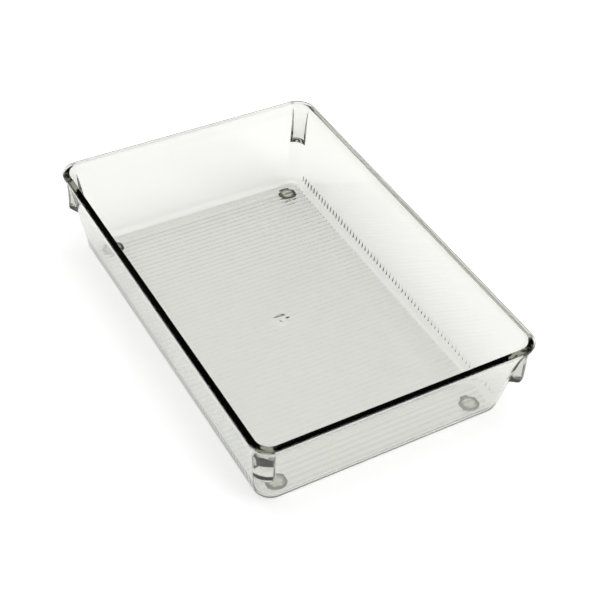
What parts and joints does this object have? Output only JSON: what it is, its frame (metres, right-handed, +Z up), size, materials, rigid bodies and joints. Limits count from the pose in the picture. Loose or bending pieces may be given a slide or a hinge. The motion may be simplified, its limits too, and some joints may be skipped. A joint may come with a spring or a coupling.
{
  "type": "drawer organizer insert",
  "caption": "Clear moulded tray with tapered walls, a flanged rim, corner stacking lugs and a ribbed floor, standing on soft domed stick-on feet.",
  "frame": {"origin": "on the surface the tray stands on, under the middle of the tray", "axes": "+Z up, Y along the tray's long side with the back at +Y, X along its short side"},
  "size_m": [0.1524, 0.2286, 0.0508],
  "materials": {
    "clear_plastic": "polished, water-clear rigid moulding with a slight grey tint in its thickness",
    "clear_rubber": "soft, clear, smooth dome with a faint olive-grey tint",
    "adhesive_film": "thin translucent pressure-sensitive film, slightly cloudy"
  },
  "bodies": {
    "root": {"tray": "clear_plastic", "foot_front_left": "clear_rubber", "foot_front_right": "clear_rubber", "foot_back_left": "clear_rubber", "foot_back_right": "clear_rubber", "foot_adhesive_front_left": "adhesive_film", "foot_adhesive_front_right": "adhesive_film", "foot_adhesive_back_left": "adhesive_film", "foot_adhesive_back_right": "adhesive_film"}
  },
  "joints": []
}
